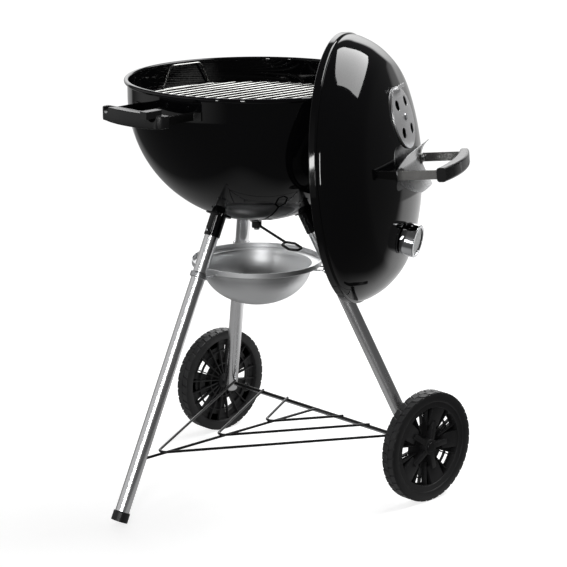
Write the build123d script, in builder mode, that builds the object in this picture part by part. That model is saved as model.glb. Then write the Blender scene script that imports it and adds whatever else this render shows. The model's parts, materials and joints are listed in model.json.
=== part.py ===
from build123d import *

import os
from math import asin, cos, degrees, radians, sin, sqrt, tan

# Kettle charcoal grill, millimetres, +Z up. Everything is drawn round the bowl's own axis, with the
# ground at z = 0, the front leg at -Y and the axle along X. write() then moves each finished piece
# so that the origin is on the ground under the middle of the whole grill, with its lid hung up.
AXIS_X = -35.8            # the bowl's axis, seen from that origin
AXIS_Y = 15.8

# Bowl: a straight band under a rolled bead, over half an ellipsoid
SHELL = 1.6               # enamelled steel sheet
RIM_Z = 754.0             # height of the rolled bead's centre
BEAD_R = 230.3
BEAD_WIRE_R = 4.2
BOWL_R = 228.5            # outside of the wall
BAND_Z = RIM_Z - 28.0     # where the straight band ends
BOWL_DEPTH = 224.0        # from there to the bowl's bottom
VENT_NEAR, VENT_FAR, VENT_WIDTH = 34.0, 84.0, 24.0
VENT_ANGLES = (-30.0, 90.0, 210.0)
WELD_GAP = 0.2            # left between welded curved sheets

# Legs: each from the lower edge of its socket to its lower end
TUBE_R, TUBE_BORE_R = 12.7, 11.5
SOCKET_R, SOCKET_BORE_R = 14.5, 12.75
SOCKET_RADIUS, SOCKET_Z = 108.4, 484.7
FOOT_Y, FOOT_Z = -330.5, 5.4
AXLE_Y, AXLE_Z, AXLE_R = 157.3, 101.7, 4.0
WHEEL_LEG_X = 248.0
LEG_IN_SOCKET = 28.0
BUTTON_HEIGHT = 8.0       # the snap button's place above the socket's lower edge
BUTTON_R, BUTTON_HOLE_R = 3.4, 3.55
BUTTON_TRAVEL = 3.0

# Wheels
WHEEL_R = 101.7
WHEEL_WIDTH = 28.0
WHEEL_INNER_X = 266.0
WHEEL_BORE_R = AXLE_R + 0.08
HUB_FACE = 21.0           # the hub's outer face, in from the wheel's inner face
HUB_CAP = 6.4
SPOKES = 5
WHEEL_RIBS = 20

# Lower wire rack
RACK_Z = 107.3            # spine and back bar
RACK_TOP_Z = 111.6        # V wires, welded on top
RACK_WIRE_R = 2.4
RACK_BAR_Y = 148.0
RACK_V_ENDS = (226.0, 145.0, 76.0)
RACK_HALF_ANGLE = 30.0

# Grates
GRATE_Z = 710.5           # outer ring of the cooking grate
GRATE_R = 219.5
GRATE_RING_WIRE_R = 2.5
GRATE_WIRE_R = 1.9
GRATE_PITCH = 18.7
HOOP_AZIMUTHS = (175.0, -5.0)
HOOP_HALF, HOOP_TOP_HALF, HOOP_HEIGHT = 52.0, 34.0, 43.0
COAL_GRATE_Z = 596.0
COAL_GRATE_R = 172.0
COAL_PITCH = 22.0

# Ash sweep
SHAFT_R = 5.0
SHAFT_HOLE_R = SHAFT_R + 0.08
SHAFT_FIT_R = SHAFT_R + 0.02
BLADE_LIFT = 0.5          # blades over the bowl's inside
BLADE_ANGLES = (15.0, 135.0, 255.0)
LEVER_AZIMUTH = -16.0
LEVER_Z = 490.0
LEVER_SLOPE = 4.9
LEVER_WIRE_R = 2.3

# Ash pan and its clips
PAN_RIM_R, PAN_RIM_Z = 118.0, 427.0
PAN_FLANGE_Z = 417.4      # underside of the flange
PAN_BOWL_R, PAN_BOWL_DEPTH = 99.5, 73.4
PAN_SHEET = 1.2
CLIP_WIRE_R = 1.6         # half the band's thickness; the tongue's wire is a little thinner
CLIP_BAND = 7.0
TONGUE_WIRE_R = 1.4
CLIP_Z = PAN_FLANGE_Z - 0.2 - TONGUE_WIRE_R
CLIP_RING_R = TUBE_R + 0.1 + CLIP_WIRE_R

# Lid, hung on the bowl's rim: the middle of its open edge, its azimuth and its lean
LID_RADIAL, LID_Z = 170.9, 602.9
LID_AZIMUTH, LID_TILT = 29.6, 5.3
LID_SHEET = 1.5
LID_LIP_R = 239.5
LID_LIP_DEPTH = 13.0
LID_HEIGHT = 118.5
CROWN_R = 495.0           # the lid's middle is part of a sphere
CROWN_EDGE = 178.0
# the lid's shoulder from lip to crown: radius, depth and the angle of the outward normal
SHOULDER = ((235.5, 14.5, 0.0), (228.0, 36.0, 27.0), (209.0, 62.5, 45.0))
DAMPER_AT = (-10.0, 89.0)
DAMPER_R = 55.0
DAMPER_HOLE_AT = 24.6
DAMPER_HOLE_R = 9.5
THERMOMETER_AT = (-39.0, -120.0)
HANDLE_FOOT_U = 85.0
HANDLE_SCREW_U = 74.0
STRAP = 2.5
STRAP_HALF = 8.0

# Side handles of the bowl
HANDLE_Z = 724.0
HANDLE_AZIMUTHS = (-87.0, 100.0)
HANDLE_HALF = 76.0
HANDLE_INNER_Y = 284.0
HANDLE_END_Y, HANDLE_OUTER_Y = 300.0, 314.0
HANDLE_ARM_X = 67.0
HANDLE_SCREW_X = 36.0
HANDLE_TALL = 26.0
TOOL_REST_X, TOOL_REST_WIDTH = 57.0, 15.0


def azimuth(angle):
    """Unit vector in plan at an angle from +X."""
    return Vector(cos(radians(angle)), sin(radians(angle)), 0)


def section(frame):
    """Plane through a frame's own Z axis, for drawing a turned piece: x out, y along the axis."""
    return Plane(origin=frame.origin, x_dir=frame.x_dir, z_dir=-frame.y_dir)


def axis_of(frame):
    return Axis(frame.origin, frame.z_dir)


def shifted(frame, x=0.0, y=0.0, z=0.0):
    """The same frame with its origin moved along its own axes."""
    return Plane(origin=frame.from_local_coords(Vector(x, y, z)), x_dir=frame.x_dir, z_dir=frame.z_dir)


def write(piece, name):
    """Move a finished piece to the grill's origin, label it and write its file."""
    placed = piece.part.moved(Location((AXIS_X, AXIS_Y, 0)))
    placed.label = name
    export_step(placed, f"parts/{name}.step")


def ellipsoid_z(radius, inset=0.0):
    """Height of the bowl's surface at a radius, a distance inside its outer face."""
    return BAND_Z - (BOWL_DEPTH - inset) * sqrt(1 - (radius / (BOWL_R - inset)) ** 2)


def bowl_solid(inset):
    """Solid filling the bowl up to its rim, a distance inside (+) or outside (-) its outer face."""
    with BuildPart() as body:
        with BuildSketch(Plane.XZ):
            with BuildLine():
                Polyline((BOWL_R - inset, BAND_Z), (BOWL_R - inset, RIM_Z), (0, RIM_Z))
                Line((0, RIM_Z), (0, BAND_Z - BOWL_DEPTH + inset))
                EllipticalCenterArc((0, BAND_Z), BOWL_R - inset, BOWL_DEPTH - inset, 270, arc_size=90)
            make_face()
        revolve(axis=Axis.Z)
    return body.part


def leg_frame(top, end):
    """Frame of a leg: z down the tube, x up and outward, square to the tube, and y level."""
    down = (end - top).normalized()
    outward = Vector(down.X, down.Y, 0)
    level = outward.cross(down)
    return Plane(origin=top, x_dir=down.cross(level), z_dir=down)


front_top = azimuth(-90) * SOCKET_RADIUS + Vector(0, 0, SOCKET_Z)
left_top = azimuth(150) * SOCKET_RADIUS + Vector(0, 0, SOCKET_Z)
right_top = azimuth(30) * SOCKET_RADIUS + Vector(0, 0, SOCKET_Z)
foot = Vector(0, FOOT_Y, FOOT_Z)
left_end = Vector(-WHEEL_LEG_X, AXLE_Y, AXLE_Z)
right_end = Vector(WHEEL_LEG_X, AXLE_Y, AXLE_Z)
leg_frames = {
    "front": leg_frame(front_top, foot),
    "left": leg_frame(left_top, left_end),
    "right": leg_frame(right_top, right_end),
}
FRONT_LENGTH = (foot - front_top).length
AXLE_DOWN_LEG = (right_end - right_top).length
WHEEL_LEG_LENGTH = AXLE_DOWN_LEG + 11.0
CAP_BASE = 3.0

lid_normal = azimuth(LID_AZIMUTH) * cos(radians(LID_TILT)) + Vector(0, 0, sin(radians(LID_TILT)))
lid_frame = Plane(
    origin=azimuth(LID_AZIMUTH) * LID_RADIAL + Vector(0, 0, LID_Z),
    x_dir=azimuth(LID_AZIMUTH + 90),
    z_dir=lid_normal,
)
lid_section = section(lid_frame)
# the lid's middle plane, seen from its side: x up the lid, y out through its top
lid_side = Plane(origin=lid_frame.origin, x_dir=lid_frame.y_dir, z_dir=lid_frame.x_dir)
crown_centre = lid_frame.from_local_coords(Vector(0, 0, LID_HEIGHT - CROWN_R))


def crown_frame(u, v):
    """Frame standing on the lid's spherical crown, z straight out of the sheet."""
    out = Vector(u, v, sqrt(CROWN_R ** 2 - u ** 2 - v ** 2))
    origin = lid_frame.from_local_coords(out + Vector(0, 0, LID_HEIGHT - CROWN_R))
    normal = (origin - crown_centre).normalized()
    across = lid_frame.x_dir - normal * lid_frame.x_dir.dot(normal)
    return Plane(origin=origin, x_dir=across, z_dir=normal)


damper_frame = crown_frame(*DAMPER_AT)
thermometer_frame = crown_frame(*THERMOMETER_AT)
screw_frames = (crown_frame(-HANDLE_SCREW_U, 0), crown_frame(HANDLE_SCREW_U, 0))

os.makedirs("parts", exist_ok=True)
bowl_outside = bowl_solid(-WELD_GAP)
bowl_inside = bowl_solid(SHELL + WELD_GAP)

# ---- bowl: shell, rolled bead, three vents and the sweep's shaft hole
with BuildPart() as bowl:
    with BuildSketch(Plane.XZ):
        with BuildLine():
            Line((BOWL_R, RIM_Z - 1), (BOWL_R, BAND_Z))
            EllipticalCenterArc((0, BAND_Z), BOWL_R, BOWL_DEPTH, 270, arc_size=90)
            Line((0, BAND_Z - BOWL_DEPTH), (0, BAND_Z - BOWL_DEPTH + SHELL))
            EllipticalCenterArc((0, BAND_Z), BOWL_R - SHELL, BOWL_DEPTH - SHELL, 270, arc_size=90)
            Polyline((BOWL_R - SHELL, BAND_Z), (BOWL_R - SHELL, RIM_Z - 1), (BOWL_R, RIM_Z - 1))
        make_face()
        with Locations((BEAD_R, RIM_Z)):
            Circle(BEAD_WIRE_R)
    revolve(axis=Axis.Z)
    with BuildSketch(Plane.XY.offset(BAND_Z - BOWL_DEPTH - 5)):
        Circle(SHAFT_HOLE_R)
        for angle in VENT_ANGLES:
            with Locations(Location(azimuth(angle) * (VENT_NEAR + VENT_FAR) / 2, angle)):
                RectangleRounded(VENT_FAR - VENT_NEAR, VENT_WIDTH, 8)
    extrude(amount=40, mode=Mode.SUBTRACT)
write(bowl, "bowl")


# ---- leg sockets, tubes and snap buttons
def leg_socket(frame):
    """Tube welded under the bowl, with a saddle that follows the bowl."""
    with BuildPart() as socket:
        with BuildSketch(frame.offset(-20)):
            Ellipse(19, 27)
        extrude(amount=-50)
        add(bowl_solid(-WELD_GAP - 2), mode=Mode.INTERSECT)
        with BuildSketch(frame):
            Circle(SOCKET_R)
        extrude(amount=-62)
        add(bowl_outside, mode=Mode.SUBTRACT)
        with BuildSketch(frame):
            Circle(SOCKET_BORE_R)
        extrude(amount=-62, mode=Mode.SUBTRACT)
        hole = shifted(frame, z=-BUTTON_HEIGHT)
        with BuildSketch(Plane(origin=hole.origin, z_dir=hole.x_dir)):
            Circle(BUTTON_HOLE_R)
        extrude(amount=20, mode=Mode.SUBTRACT)
    return socket


def leg_tube(frame, length, cross, cross_r, reach):
    """Tube with the snap button's hole near its top and a cross hole, drilled from a plane, lower down."""
    with BuildPart() as tube:
        with BuildSketch(frame.offset(-LEG_IN_SOCKET)):
            Circle(TUBE_R)
            Circle(TUBE_BORE_R, mode=Mode.SUBTRACT)
        extrude(amount=LEG_IN_SOCKET + length)
        hole = shifted(frame, z=-BUTTON_HEIGHT)
        with BuildSketch(Plane(origin=hole.origin, z_dir=hole.x_dir)):
            Circle(BUTTON_HOLE_R)
        extrude(amount=20, mode=Mode.SUBTRACT)
        with BuildSketch(cross):
            Circle(cross_r)
        extrude(amount=reach, mode=Mode.SUBTRACT)
    return tube


def snap_button(frame):
    """Pin with a flange inside the tube; its round end stands out of the socket."""
    seat = shifted(frame, z=-BUTTON_HEIGHT)
    with BuildPart() as button:
        with BuildSketch(Plane(origin=shifted(seat, x=7.5).origin, z_dir=seat.x_dir)):
            Circle(5.5)
        extrude(amount=1.5)
        with BuildSketch(Plane(origin=shifted(seat, x=8).origin, z_dir=seat.x_dir)):
            Circle(BUTTON_R)
        extrude(amount=SOCKET_R + BUTTON_TRAVEL - 8)
        fillet(button.faces().sort_by(Axis(seat.origin, seat.x_dir))[-1].edges(), 1.8)
    return button


def button_spring(frame):
    """Leaf bent to a V: one leaf behind the button, the other towards the far wall."""
    with BuildPart() as spring:
        with BuildSketch(section(frame)):
            with BuildLine():
                FilletPolyline((7.0, -BUTTON_HEIGHT - 5), (7.0, 26), (-7.0, -BUTTON_HEIGHT - 5), radius=2)
            trace(line_width=0.8)
        extrude(amount=3, both=True)
    return spring


for name, frame in leg_frames.items():
    write(leg_socket(frame), f"leg_socket_{name}")
    write(snap_button(frame), f"leg_button_{name}")
    write(button_spring(frame), f"button_spring_{name}")

rack_hole = Plane(origin=(0, 0, RACK_Z), z_dir=(0, -1, 0))
front_leg = leg_tube(leg_frames["front"], FRONT_LENGTH - CAP_BASE - 0.2, rack_hole, RACK_WIRE_R + 0.2, 280)
write(front_leg, "leg_front")

axle_hole = Plane(origin=(-WHEEL_INNER_X, AXLE_Y, AXLE_Z), z_dir=(1, 0, 0))
for name in ("left", "right"):
    wheel_leg = leg_tube(leg_frames[name], WHEEL_LEG_LENGTH, axle_hole, AXLE_R + 0.1, 2 * WHEEL_INNER_X)
    write(wheel_leg, f"leg_{name}")
    end = leg_frames[name].offset(WHEEL_LEG_LENGTH)
    with BuildPart() as plug:
        with BuildSketch(end.offset(0.1)):
            Circle(TUBE_R)
        extrude(amount=2.4)
        with BuildSketch(end.offset(0.1)):
            Circle(TUBE_BORE_R - 0.05)
        extrude(amount=-2.2)
    write(plug, f"leg_plug_{name}")

with BuildPart() as foot_cap:
    with BuildSketch(leg_frames["front"].offset(FRONT_LENGTH - 18)):
        Circle(15)
    extrude(amount=18)
    chamfer(foot_cap.faces().sort_by(Axis.Z)[-1].edges(), 1.2)
    with BuildSketch(leg_frames["front"].offset(FRONT_LENGTH - 20)):
        Circle(TUBE_R + 0.05)
    extrude(amount=20 - CAP_BASE, mode=Mode.SUBTRACT)
    # the heel is cut flat where it rests on the ground
    with BuildSketch(Plane.XY):
        with Locations((0, FOOT_Y)):
            Rectangle(60, 60)
    extrude(amount=-20, mode=Mode.SUBTRACT)
write(foot_cap, "foot_cap")

# ---- axle, wheels and hub caps
with BuildPart() as axle:
    with BuildSketch(Plane.YZ):
        with Locations((AXLE_Y, AXLE_Z)):
            Circle(AXLE_R)
    extrude(amount=WHEEL_INNER_X + HUB_FACE + 5.4, both=True)
write(axle, "axle")


def wheel_frame(side):
    """Frame on the wheel's inner face, z outward; side is -1 for left and +1 for right."""
    return Plane(origin=(side * WHEEL_INNER_X, AXLE_Y, AXLE_Z), x_dir=(0, side, 0), z_dir=(side, 0, 0))


def wheel(frame):
    """One-piece plastic wheel: tread ring, web with windows, wedge spokes, hub and inner ribs."""
    with BuildPart() as body:
        with BuildSketch(section(frame)):
            with BuildLine():
                Polyline(
                    (84, 1), (97, 0), (WHEEL_R, 4), (WHEEL_R, WHEEL_WIDTH - 4),
                    (97, WHEEL_WIDTH), (84, WHEEL_WIDTH), close=True,
                )
            make_face()
            with Locations((50, 12.5)):
                Rectangle(70, 5)
            with Locations((74, 18)):
                Rectangle(4, 12)
            with Locations((9.5, HUB_FACE / 2)):
                Rectangle(11, HUB_FACE)
        revolve(axis=axis_of(frame))
        with BuildSketch(frame.offset(14)):
            with PolarLocations(0, SPOKES):
                with BuildLine():
                    Polyline((12, -9), (86, -17), (86, 17), (12, 9), close=True)
                make_face()
        extrude(amount=8)
        with BuildSketch(frame):
            with PolarLocations(0, SPOKES, start_angle=180 / SPOKES):
                with Locations((58, 0)):
                    Trapezoid(26, 24, 100, rotation=-90)
        extrude(amount=WHEEL_WIDTH, mode=Mode.SUBTRACT)
        with BuildSketch(frame.offset(3)):
            with PolarLocations(0, WHEEL_RIBS, start_angle=180 / WHEEL_RIBS):
                with Locations((50, 0)):
                    Rectangle(72, 2.4)
        extrude(amount=8)
        with BuildSketch(frame.offset(-1)):
            Circle(WHEEL_BORE_R)
        extrude(amount=WHEEL_WIDTH + 2, mode=Mode.SUBTRACT)
    return body


def hub_cap(frame):
    """Push-on cap that keeps the wheel on the axle."""
    with BuildPart() as cap:
        with BuildSketch(frame.offset(HUB_FACE + 0.4)):
            Circle(9.5)
        extrude(amount=HUB_CAP)
        fillet(cap.faces().sort_by(Axis(frame.origin, frame.z_dir))[-1].edges(), 2)
        with BuildSketch(frame.offset(HUB_FACE)):
            Circle(AXLE_R + 0.02)
        extrude(amount=5.5, mode=Mode.SUBTRACT)
    return cap


for name, side in (("left", -1), ("right", 1)):
    write(wheel(wheel_frame(side)), f"wheel_{name}")
    write(hub_cap(wheel_frame(side)), f"hub_cap_{name}")

# ---- lower wire rack: spine, back bar, three V wires and two eyes round the axle
with BuildPart() as wire_rack:
    with BuildSketch(Plane.XZ.offset(276)):
        with Locations((0, RACK_Z)):
            Circle(RACK_WIRE_R)
    extrude(amount=-276 - RACK_BAR_Y)
    with BuildSketch(Plane.YZ):
        with Locations((RACK_BAR_Y, RACK_Z)):
            Circle(3)
    extrude(amount=RACK_V_ENDS[0] + 1.5, both=True)
    for half in RACK_V_ENDS:
        apex_y = RACK_BAR_Y - half / tan(radians(RACK_HALF_ANGLE))
        with BuildLine(Plane.XY.offset(RACK_TOP_Z)) as bent:
            FilletPolyline((-half, RACK_BAR_Y), (0, apex_y), (half, RACK_BAR_Y), radius=12)
        with BuildSketch(Plane(origin=bent.line @ 0, z_dir=bent.line % 0)):
            Circle(RACK_WIRE_R)
        sweep()
    for x in (-205, 205):
        with BuildSketch(Plane(origin=(x, AXLE_Y, AXLE_Z), x_dir=(0, 1, 0), z_dir=(0, 0, 1))):
            with Locations((AXLE_R + 0.1 + 2.2, 0)):
                Circle(2.2)
        revolve(axis=Axis((x, AXLE_Y, AXLE_Z), (1, 0, 0)))
write(wire_rack, "wire_rack")


# ---- grates and their brackets
def wire_grate(ring_r, ring_z, wire_r, pitch, cross_y):
    """Round grate: level wires along Y, two cross wires under them and a ring round the edge."""
    wires = 2 * int((ring_r - 4) / pitch) + 1
    with BuildPart() as grate:
        with BuildSketch(Plane.XZ):
            with Locations((0, ring_z + wire_r - 0.2)):
                with GridLocations(pitch, 0, wires, 1):
                    Circle(wire_r)
        extrude(amount=ring_r + 4, both=True)
        with BuildSketch(Plane.YZ):
            for y in (-cross_y, cross_y):
                with Locations((y, ring_z - GRATE_RING_WIRE_R + 0.4)):
                    Circle(GRATE_RING_WIRE_R)
        extrude(amount=ring_r + 4, both=True)
        with BuildSketch(Plane.XY.offset(ring_z - 10)):
            Circle(ring_r)
        extrude(amount=20, mode=Mode.INTERSECT)
        with BuildSketch(Plane.XZ):
            with Locations((ring_r, ring_z)):
                Circle(GRATE_RING_WIRE_R)
        revolve(axis=Axis.Z)
    return grate


def brackets(top_z, reach, angles):
    """Flat tabs welded to the inside of the bowl for a grate to rest on."""
    with BuildPart() as tabs:
        for angle in angles:
            with BuildSketch(Plane.XY.offset(top_z)):
                with Locations(Location(azimuth(angle) * 210, angle)):
                    Rectangle(2 * (210 - reach), 18)
            extrude(amount=-2)
        add(bowl_inside, mode=Mode.INTERSECT)
    return tabs


def grate_hoop(angle):
    """Wire handle bent up from the grate's ring."""
    chord = sqrt(GRATE_R ** 2 - HOOP_HALF ** 2)
    upright = Plane(origin=azimuth(angle) * chord + Vector(0, 0, GRATE_Z), x_dir=azimuth(angle + 90),
                    z_dir=azimuth(angle))
    base = GRATE_RING_WIRE_R + 1.2
    with BuildPart() as hoop:
        with BuildLine(upright) as bent:
            FilletPolyline(
                (-HOOP_HALF, base), (-HOOP_TOP_HALF, HOOP_HEIGHT), (HOOP_TOP_HALF, HOOP_HEIGHT),
                (HOOP_HALF, base), radius=13,
            )
        with BuildSketch(Plane(origin=bent.line @ 0, z_dir=bent.line % 0)):
            Circle(2)
        sweep()
    return hoop


write(wire_grate(GRATE_R, GRATE_Z, GRATE_WIRE_R, GRATE_PITCH, 95), "cooking_grate")
write(wire_grate(COAL_GRATE_R, COAL_GRATE_Z, 2.5, COAL_PITCH, 70), "charcoal_grate")
write(brackets(GRATE_Z - GRATE_RING_WIRE_R - 0.1, 214, (45, 135, 225, 315)), "cooking_grate_brackets")
write(brackets(COAL_GRATE_Z - GRATE_RING_WIRE_R - 0.1, 165, (0, 120, 240)), "charcoal_grate_brackets")
for name, angle in zip(("left", "right"), HOOP_AZIMUTHS):
    write(grate_hoop(angle), f"grate_handle_{name}")

# ---- ash sweep: three blades on a hub, shaft, nut, and the lever under the bowl
with BuildPart() as sweep_blades:
    with BuildSketch(Plane.XY.offset(BAND_Z - BOWL_DEPTH)):
        Circle(20)
        for angle in BLADE_ANGLES:
            with Locations(Location(azimuth(angle) * 52, angle)):
                RectangleRounded(80, 30, 6)
        Circle(SHAFT_FIT_R, mode=Mode.SUBTRACT)
    extrude(amount=40)
    add(bowl_solid(SHELL + BLADE_LIFT), mode=Mode.INTERSECT)
    add(bowl_solid(SHELL + BLADE_LIFT + 1.5), mode=Mode.SUBTRACT)
write(sweep_blades, "sweep_blades")

SWEEP_FLOOR_Z = BAND_Z - BOWL_DEPTH
with BuildPart() as sweep_shaft:
    with BuildSketch(Plane.XY.offset(480)):
        Circle(SHAFT_R)
    extrude(amount=34)
    with BuildSketch(Plane.XY.offset(SWEEP_FLOOR_Z - 2.5)):
        Circle(11)
    extrude(amount=2)
write(sweep_shaft, "sweep_shaft")

with BuildPart() as sweep_nut:
    with BuildSketch(Plane.XY.offset(SWEEP_FLOOR_Z + 4.4)):
        RegularPolygon(8.6, 6)
        Circle(SHAFT_FIT_R, mode=Mode.SUBTRACT)
    extrude(amount=5)
write(sweep_nut, "sweep_nut")

lever_out = azimuth(LEVER_AZIMUTH) * cos(radians(LEVER_SLOPE)) - Vector(0, 0, sin(radians(LEVER_SLOPE)))
lever_across = azimuth(LEVER_AZIMUTH + 90)
lever_plane = Plane(origin=(0, 0, LEVER_Z), x_dir=lever_out, z_dir=lever_out.cross(lever_across))
with BuildPart() as sweep_lever:
    with BuildSketch(Plane.XY.offset(LEVER_Z - 6)):
        Circle(9)
    extrude(amount=12)
    with BuildSketch(Plane(origin=lever_plane.from_local_coords(Vector(7, 0, 0)), z_dir=lever_out)):
        Circle(LEVER_WIRE_R)
    extrude(amount=106)
    with BuildLine(lever_plane) as loop:
        FilletPolyline(
            (112, 0), (126, 12.5), (152, 12.5), (162, 0), (152, -12.5), (126, -12.5),
            radius=5, close=True,
        )
    with BuildSketch(Plane(origin=loop.line @ 0, z_dir=loop.line % 0)):
        Circle(LEVER_WIRE_R)
    sweep()
    with BuildSketch(Plane(origin=lever_plane.from_local_coords(Vector(-7, 0, 0)), z_dir=-lever_out)):
        Circle(LEVER_WIRE_R)
    extrude(amount=16)
    with BuildSketch(Plane.XY.offset(LEVER_Z - 8)):
        Circle(SHAFT_FIT_R)
    extrude(amount=20, mode=Mode.SUBTRACT)
write(sweep_lever, "sweep_lever")

# ---- ash pan and the clips that carry it
with BuildPart() as ash_pan:
    with BuildSketch(Plane.XZ):
        with BuildLine():
            Polyline((PAN_BOWL_R, PAN_FLANGE_Z), (PAN_RIM_R, PAN_FLANGE_Z), (PAN_RIM_R, PAN_RIM_Z),
                     (PAN_RIM_R - PAN_SHEET, PAN_RIM_Z),
                     (PAN_RIM_R - PAN_SHEET, PAN_FLANGE_Z + PAN_SHEET),
                     (PAN_BOWL_R - PAN_SHEET, PAN_FLANGE_Z + PAN_SHEET))
            EllipticalCenterArc((0, PAN_FLANGE_Z + PAN_SHEET), PAN_BOWL_R - PAN_SHEET, PAN_BOWL_DEPTH, 270, arc_size=90)
            Line((0, PAN_FLANGE_Z + PAN_SHEET - PAN_BOWL_DEPTH), (0, PAN_FLANGE_Z - PAN_BOWL_DEPTH))
            EllipticalCenterArc((0, PAN_FLANGE_Z), PAN_BOWL_R, PAN_BOWL_DEPTH, 270, arc_size=90)
        make_face()
    revolve(axis=Axis.Z)
write(ash_pan, "ash_pan")


def pan_clip(frame):
    """Band round a leg and a U-shaped wire tongue under the pan's flange."""
    down = (SOCKET_Z - CLIP_Z) / -frame.z_dir.Z
    ring = frame.offset(down)
    level_in = Plane(origin=ring.origin, x_dir=(frame.z_dir.X, frame.z_dir.Y, 0), z_dir=(0, 0, 1))
    with BuildPart() as clip:
        with BuildLine(level_in) as tongue:
            FilletPolyline(
                (4, CLIP_RING_R), (-36, CLIP_RING_R), (-36, -CLIP_RING_R), (4, -CLIP_RING_R), radius=5,
            )
        with BuildSketch(Plane(origin=tongue.line @ 0, z_dir=tongue.line % 0)):
            Circle(TONGUE_WIRE_R)
        sweep()
        with BuildSketch(section(ring)):
            with Locations((CLIP_RING_R, -CLIP_BAND / 2)):
                SlotCenterToCenter(CLIP_BAND, 2 * CLIP_WIRE_R, rotation=90)
        revolve(axis=axis_of(ring))
    return clip


for name, frame in leg_frames.items():
    write(pan_clip(frame), f"pan_clip_{name}")


# ---- lid
def lid_solid(inset):
    """Solid filling the lid, a distance inside its outer face."""
    shoulder = [
        (r - inset * cos(radians(turn)), d - inset * sin(radians(turn))) for r, d, turn in SHOULDER
    ]
    crown_turn = degrees(asin(CROWN_EDGE / CROWN_R))
    radius = CROWN_R - inset
    edge = (radius * sin(radians(crown_turn)), LID_HEIGHT - CROWN_R + radius * cos(radians(crown_turn)))
    middle = (radius * sin(radians(crown_turn / 2)),
              LID_HEIGHT - CROWN_R + radius * cos(radians(crown_turn / 2)))
    apex = (0, LID_HEIGHT - inset)
    lip = LID_LIP_R - inset
    with BuildPart() as body:
        with BuildSketch(lid_section):
            with BuildLine():
                Polyline((0, 1.5), (lip, 1.5), (lip, LID_LIP_DEPTH - inset), shoulder[0])
                Spline(*shoulder, edge,
                       tangents=((0, 1), (-cos(radians(crown_turn)), sin(radians(crown_turn)))))
                ThreePointArc(edge, middle, apex)
                Line(apex, (0, 1.5))
            make_face()
        revolve(axis=axis_of(lid_frame))
    return body.part


lid_inside = lid_solid(LID_SHEET + WELD_GAP)

with BuildPart() as lid:
    add(lid_solid(0))
    add(lid_solid(LID_SHEET), mode=Mode.SUBTRACT)
    with BuildSketch(lid_section):
        with Locations((LID_LIP_R - 1.9, 2)):
            Circle(2)
    revolve(axis=axis_of(lid_frame))
    with BuildSketch(damper_frame.offset(-8)):
        Circle(2.75)
        with GridLocations(2 * DAMPER_HOLE_AT, 2 * DAMPER_HOLE_AT, 2, 2):
            Circle(DAMPER_HOLE_R - 0.5)
    extrude(amount=16, mode=Mode.SUBTRACT)
    with BuildSketch(thermometer_frame.offset(-8)):
        Circle(5)
    extrude(amount=16, mode=Mode.SUBTRACT)
    for frame in screw_frames:
        with BuildSketch(frame.offset(-8)):
            Circle(2.7)
        extrude(amount=16, mode=Mode.SUBTRACT)
write(lid, "lid")

# ---- hanger: a strap inside the lid that hooks over the bowl's bead
bead = lid_side.to_local_coords(azimuth(LID_AZIMUTH) * BEAD_R + Vector(0, 0, RIM_Z))
over_bead = bead.X + BEAD_WIRE_R + 0.4 + STRAP / 2
with BuildPart() as lid_hanger:
    with BuildSketch(lid_side):
        with BuildLine():
            Polyline((186, 81.5), (160, 90.5), (over_bead, bead.Y + 9), (over_bead, bead.Y - 4.4),
                     (over_bead - 11, bead.Y - 13.2))
        trace(line_width=STRAP)
    extrude(amount=12.5, both=True)
    add(lid_inside, mode=Mode.INTERSECT)
write(lid_hanger, "lid_hanger")


# ---- lid handle: bracket strap, grip, heat shield, screws and nuts
def on_crown(u, height):
    """Point over the crown in the lid's section, at a height above the sheet."""
    return (u, LID_HEIGHT - CROWN_R + sqrt((CROWN_R + height) ** 2 - u ** 2))


def bracket_outline(grow=0.0):
    """Strap from foot to foot, through the grip, as a face in the lid's section."""
    with BuildSketch(lid_section) as outline:
        for side in (-1, 1):
            with BuildLine():
                Polyline(on_crown(side * 63, 3.1), on_crown(side * HANDLE_FOOT_U, 3.1),
                         (side * HANDLE_FOOT_U, 189))
            trace(line_width=STRAP + 2 * grow)
        with BuildLine():
            ThreePointArc((-HANDLE_FOOT_U, 189), (0, 200), (HANDLE_FOOT_U, 189))
        trace(line_width=STRAP + 2 * grow)
    return outline.sketch


with BuildPart() as lid_handle_bracket:
    add(bracket_outline())
    extrude(amount=STRAP_HALF, dir=lid_section.z_dir, both=True)
    for frame in screw_frames:
        with BuildSketch(frame):
            Circle(2.7)
        extrude(amount=10, mode=Mode.SUBTRACT)
write(lid_handle_bracket, "lid_handle_bracket")

with BuildPart() as lid_handle_grip:
    with BuildSketch(lid_section):
        with BuildLine():
            ThreePointArc((-90, 182), (0, 190.5), (90, 182))
            Line((90, 182), (90, 198.5))
            ThreePointArc((90, 198.5), (0, 211.5), (-90, 198.5))
            Line((-90, 198.5), (-90, 182))
        make_face()
    extrude(amount=12.5, both=True)
    fillet(lid_handle_grip.edges().filter_by(GeomType.CIRCLE), 5)
    add(bracket_outline(0.15))
    extrude(amount=STRAP_HALF + 0.15, dir=lid_section.z_dir, both=True, mode=Mode.SUBTRACT)
write(lid_handle_grip, "lid_handle_grip")

with BuildPart() as lid_heat_shield:
    base = LID_HEIGHT + 1.0
    with BuildSketch(lid_side):
        with BuildLine():
            ThreePointArc((-40, base + 22), (-27, base + 9.5), (-9, base))
            Line((-9, base), (9, base))
            ThreePointArc((9, base), (28, base + 10), (42, base + 24))
        trace(line_width=PAN_SHEET)
    revolve(axis=Axis(crown_centre, lid_frame.y_dir))
    with BuildSketch(lid_frame.offset(60)):
        Ellipse(88, 44)
    extrude(amount=100, mode=Mode.INTERSECT)
    for frame in screw_frames:
        with BuildSketch(frame.offset(-4)):
            Circle(2.7)
        extrude(amount=12, mode=Mode.SUBTRACT)
write(lid_heat_shield, "lid_heat_shield")

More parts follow.
